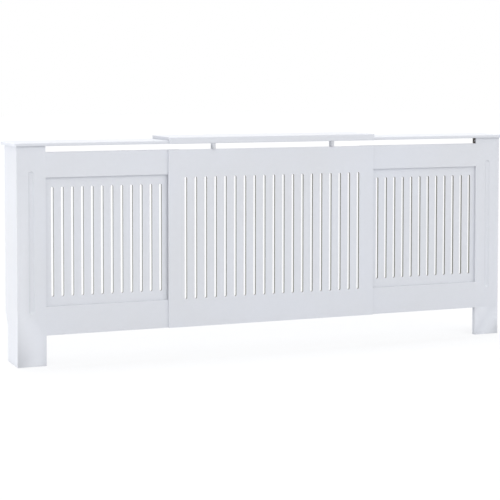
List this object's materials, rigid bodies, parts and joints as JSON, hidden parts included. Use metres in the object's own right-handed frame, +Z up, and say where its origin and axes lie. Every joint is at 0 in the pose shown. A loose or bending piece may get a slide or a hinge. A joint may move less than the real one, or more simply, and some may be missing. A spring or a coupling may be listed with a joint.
{
  "type": "radiator cover",
  "caption": "Extending radiator cover: slotted white panels and shelves, with end sections that slide in behind the centre panel and under the centre shelf.",
  "frame": {"origin": "middle of the footprint box, on the floor", "axes": "+X along the width to the right as seen from the front, the front faces -Y, the wall is at +Y, +Z is up"},
  "size_m": [2.03, 0.1974, 0.8226],
  "materials": {
    "white_paint": "fibreboard with smooth satin white paint",
    "brown_plastic": "dark brown moulded plastic",
    "beech_dowel": "plain beech",
    "zinc_screw": "bright zinc plated steel"
  },
  "bodies": {
    "centre_section": {"centre_panel": "white_paint", "centre_shelf": "white_paint", "left_spacer": "white_paint", "left_spacer_upper_dowel": "beech_dowel", "left_spacer_lower_dowel": "beech_dowel", "right_spacer": "white_paint", "right_spacer_upper_dowel": "beech_dowel", "right_spacer_lower_dowel": "beech_dowel"},
    "left_end_section": {"left_post": "white_paint", "left_top_rail": "white_paint", "left_bottom_rail": "white_paint", "left_inner_stile": "white_paint", "left_grille_panel": "white_paint", "left_side_panel": "white_paint", "left_end_shelf": "white_paint", "left_upper_post_block": "brown_plastic", "left_lower_post_block": "brown_plastic", "left_shelf_block": "brown_plastic", "left_top_rail_dowel_1": "beech_dowel", "left_top_rail_dowel_2": "beech_dowel", "left_bottom_rail_dowel_1": "beech_dowel", "left_bottom_rail_dowel_2": "beech_dowel", "left_stile_top_dowel": "beech_dowel", "left_stile_bottom_dowel": "beech_dowel", "left_shelf_front_dowel": "beech_dowel", "left_shelf_rear_dowel": "beech_dowel", "left_upper_post_block_side_screw": "zinc_screw", "left_upper_post_block_board_screw": "zinc_screw", "left_lower_post_block_side_screw": "zinc_screw", "left_lower_post_block_board_screw": "zinc_screw", "left_shelf_block_side_screw": "zinc_screw", "left_shelf_block_board_screw": "zinc_screw"},
    "right_end_section": {"right_post": "white_paint", "right_top_rail": "white_paint", "right_bottom_rail": "white_paint", "right_inner_stile": "white_paint", "right_grille_panel": "white_paint", "right_side_panel": "white_paint", "right_end_shelf": "white_paint", "right_upper_post_block": "brown_plastic", "right_lower_post_block": "brown_plastic", "right_shelf_block": "brown_plastic", "right_top_rail_dowel_1": "beech_dowel", "right_top_rail_dowel_2": "beech_dowel", "right_bottom_rail_dowel_1": "beech_dowel", "right_bottom_rail_dowel_2": "beech_dowel", "right_stile_top_dowel": "beech_dowel", "right_stile_bottom_dowel": "beech_dowel", "right_shelf_front_dowel": "beech_dowel", "right_shelf_rear_dowel": "beech_dowel", "right_upper_post_block_side_screw": "zinc_screw", "right_upper_post_block_board_screw": "zinc_screw", "right_lower_post_block_side_screw": "zinc_screw", "right_lower_post_block_board_screw": "zinc_screw", "right_shelf_block_side_screw": "zinc_screw", "right_shelf_block_board_screw": "zinc_screw"}
  },
  "joints": [
    {"name": "left_slide", "type": "slide", "parent": "centre_section", "child": "left_end_section", "axis": [1, 0, 0], "range_m": [0, 0.315]},
    {"name": "right_slide", "type": "slide", "parent": "centre_section", "child": "right_end_section", "axis": [-1, 0, 0], "range_m": [0, 0.315]}
  ]
}
